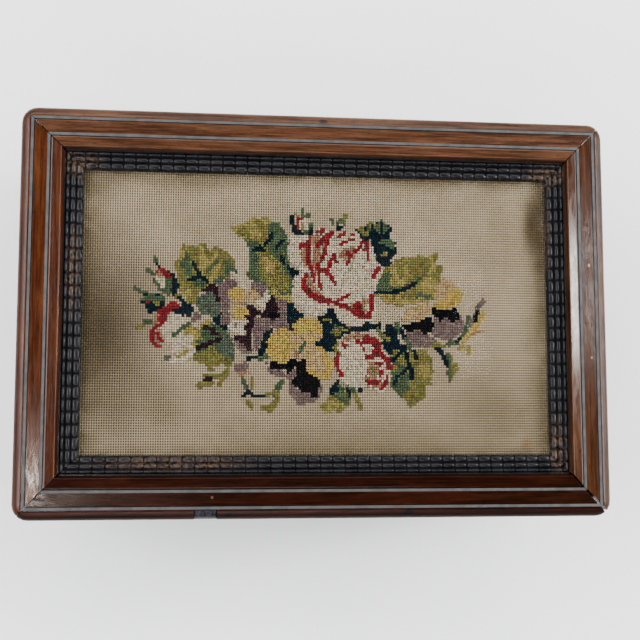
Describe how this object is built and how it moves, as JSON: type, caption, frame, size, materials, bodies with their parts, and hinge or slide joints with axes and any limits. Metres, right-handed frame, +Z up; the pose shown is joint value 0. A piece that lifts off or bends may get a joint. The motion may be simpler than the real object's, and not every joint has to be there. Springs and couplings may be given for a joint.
{
  "type": "needlepoint box",
  "caption": "Rectangular wooden box with a lift-off lid: a mitred frame with metal stringing and a ripple-moulded slip holds a floral needlepoint panel under glass.",
  "frame": {"origin": "middle of the underside of the base board", "axes": "+Z up through the lid, +X along the long side to the right, +Y from the front to the back, as the bouquet stands upright"},
  "size_m": [0.287, 0.196, 0.1151],
  "materials": {
    "rosewood": "french polished, worn",
    "pewter": "dull grey inlay",
    "ebonised_wood": "black polish, glossy on the ripples",
    "filler": "dark stopping wax",
    "canvas_work": "wool stitches on open canvas",
    "glass": "clear",
    "deal": "bare, aged"
  },
  "bodies": {
    "root": {"lid_rail_front": "rosewood", "lid_rail_right": "rosewood", "lid_rail_back": "rosewood", "lid_rail_left": "rosewood", "lid_edge_patch": "filler", "stringing_outer_front": "pewter", "stringing_outer_right": "pewter", "stringing_outer_back": "pewter", "stringing_outer_left": "pewter", "stringing_inner_front": "pewter", "stringing_inner_right": "pewter", "stringing_inner_back": "pewter", "stringing_inner_left": "pewter", "ripple_slip_front": "ebonised_wood", "ripple_slip_right": "ebonised_wood", "ripple_slip_back": "ebonised_wood", "ripple_slip_left": "ebonised_wood", "lid_glass": "glass", "needlepoint": "canvas_work", "backing_board": "deal", "wall_front": "rosewood", "wall_right": "rosewood", "wall_back": "rosewood", "wall_left": "rosewood", "base_board": "rosewood"}
  },
  "joints": []
}
